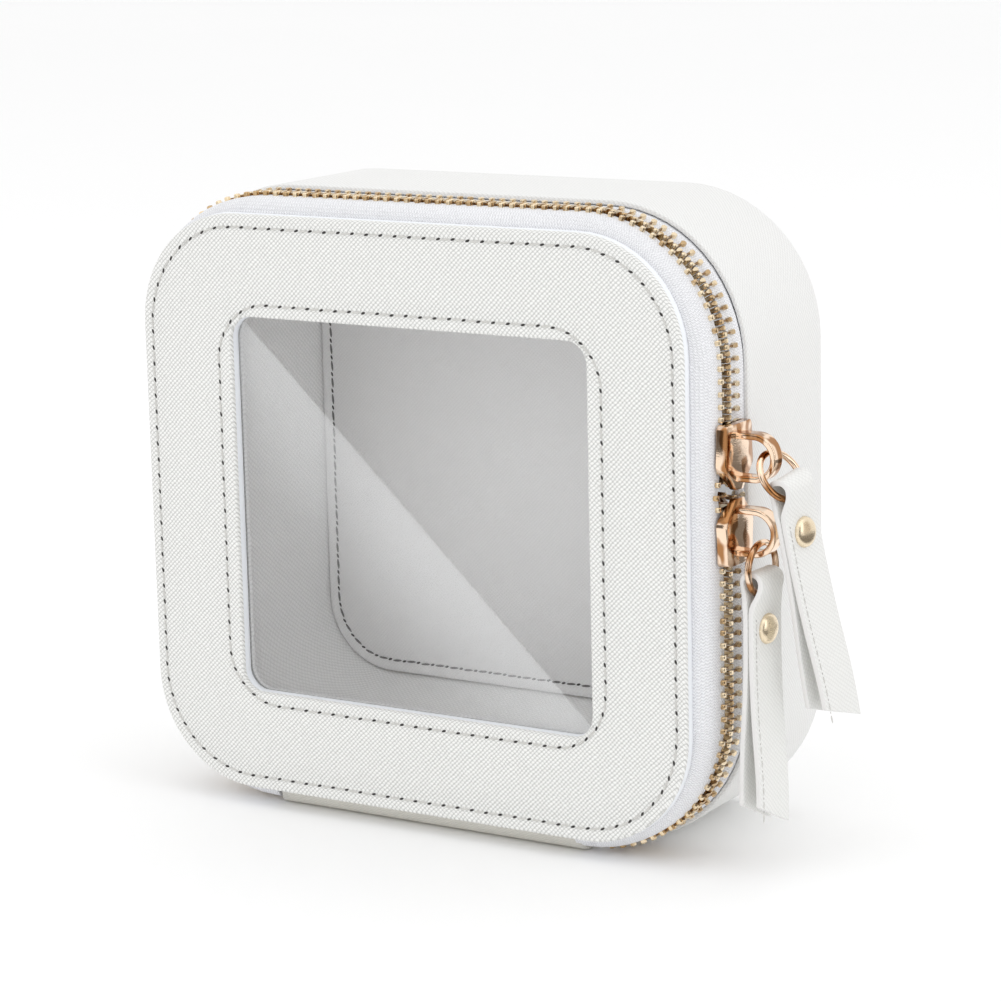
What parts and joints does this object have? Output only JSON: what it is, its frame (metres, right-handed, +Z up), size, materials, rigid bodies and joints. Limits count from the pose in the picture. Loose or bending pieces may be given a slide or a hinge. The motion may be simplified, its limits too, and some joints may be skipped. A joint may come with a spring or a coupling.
{
  "type": "jewelry box",
  "caption": "Small square zip-round jewelry case in cross-grained leather with a clear window lid, hinged at the bottom, closed by two zip sliders with leather pulls.",
  "frame": {"origin": "on the resting face (the underside of the walls), under the middle of the case", "axes": "+X towards the side with the zip sliders, +Y from the window to the back, +Z up"},
  "size_m": [0.1279, 0.0446, 0.1052],
  "materials": {
    "leather": "off-white cross-grained leather",
    "edge_paint": "smooth painted edge",
    "board": "grey-brown stiffening board",
    "clear": "clear flexible window sheet",
    "lining": "light grey lining",
    "padding": "soft foam",
    "tape": "white woven zip tape",
    "teeth": "pale antique gold zip teeth",
    "slider": "polished rose gold",
    "rivet": "pale champagne gold",
    "strap": "off-white leather, cut edges painted"
  },
  "bodies": {
    "base": {"wall_skin": "leather", "wall_board": "board", "wall_padding": "padding", "wall_lining": "lining", "back_board": "board", "back_panel_skin": "leather", "inner_back_board": "board", "inner_back_panel": "lining", "base_zip_tape": "tape", "base_zip_teeth": "teeth", "hinge_strip": "leather", "hinge_lining": "lining"},
    "lid": {"front_panel_skin": "leather", "front_panel_board": "board", "panel_edge_band": "edge_paint", "window_edge_band": "edge_paint", "window_pane": "clear", "lid_lining": "lining", "lid_zip_tape": "tape", "lid_zip_teeth": "teeth"},
    "upper_zip": {"upper_slider": "slider", "upper_bail": "slider"},
    "upper_loop": {"upper_ring": "slider"},
    "upper_pull": {"upper_pull_strap": "strap", "upper_rivet_cap": "rivet", "upper_rivet_back": "rivet"},
    "lower_zip": {"lower_slider": "slider", "lower_bail": "slider"},
    "lower_loop": {"lower_ring": "slider"},
    "lower_pull": {"lower_pull_strap": "strap", "lower_rivet_cap": "rivet", "lower_rivet_back": "rivet"}
  },
  "joints": [
    {"name": "lid_hinge", "type": "hinge", "parent": "base", "child": "lid", "pos_m": [0, -0.01265, 0.001], "axis": [1, 0, 0], "range_deg": [0, 84], "deforming": ["hinge_strip", "hinge_lining", "lid_zip_tape", "base_zip_tape"]},
    {"name": "upper_slide", "type": "slide", "parent": "base", "child": "upper_zip", "axis": [0, 0, 1], "range_m": [0, 0.008], "deforming": ["lid_zip_teeth", "base_zip_teeth"]},
    {"name": "lower_slide", "type": "slide", "parent": "base", "child": "lower_zip", "axis": [0, 0, -1], "range_m": [0, 0.0245]},
    {"name": "upper_ring_swing", "type": "hinge", "parent": "upper_zip", "child": "upper_loop", "pos_m": [0.0612, -0.01265, 0.0676], "axis": [-0.1371, -0.9752, -0.1736], "range_deg": [0, 115]},
    {"name": "lower_ring_swing", "type": "hinge", "parent": "lower_zip", "child": "lower_loop", "pos_m": [0.0603, -0.01265, 0.0534], "axis": [-0.0698, -0.9976, 0], "range_deg": [0, 7]},
    {"name": "upper_strap_swing", "type": "hinge", "parent": "upper_loop", "child": "upper_pull", "pos_m": [0.06543, -0.01217, 0.06159], "axis": [-0.1371, -0.9752, -0.1736], "range_deg": [0, 25]},
    {"name": "lower_strap_swing", "type": "hinge", "parent": "lower_loop", "child": "lower_pull", "pos_m": [0.0603, -0.01265, 0.04603], "axis": [-0.0698, -0.9976, 0], "range_deg": [-8, 6]}
  ]
}
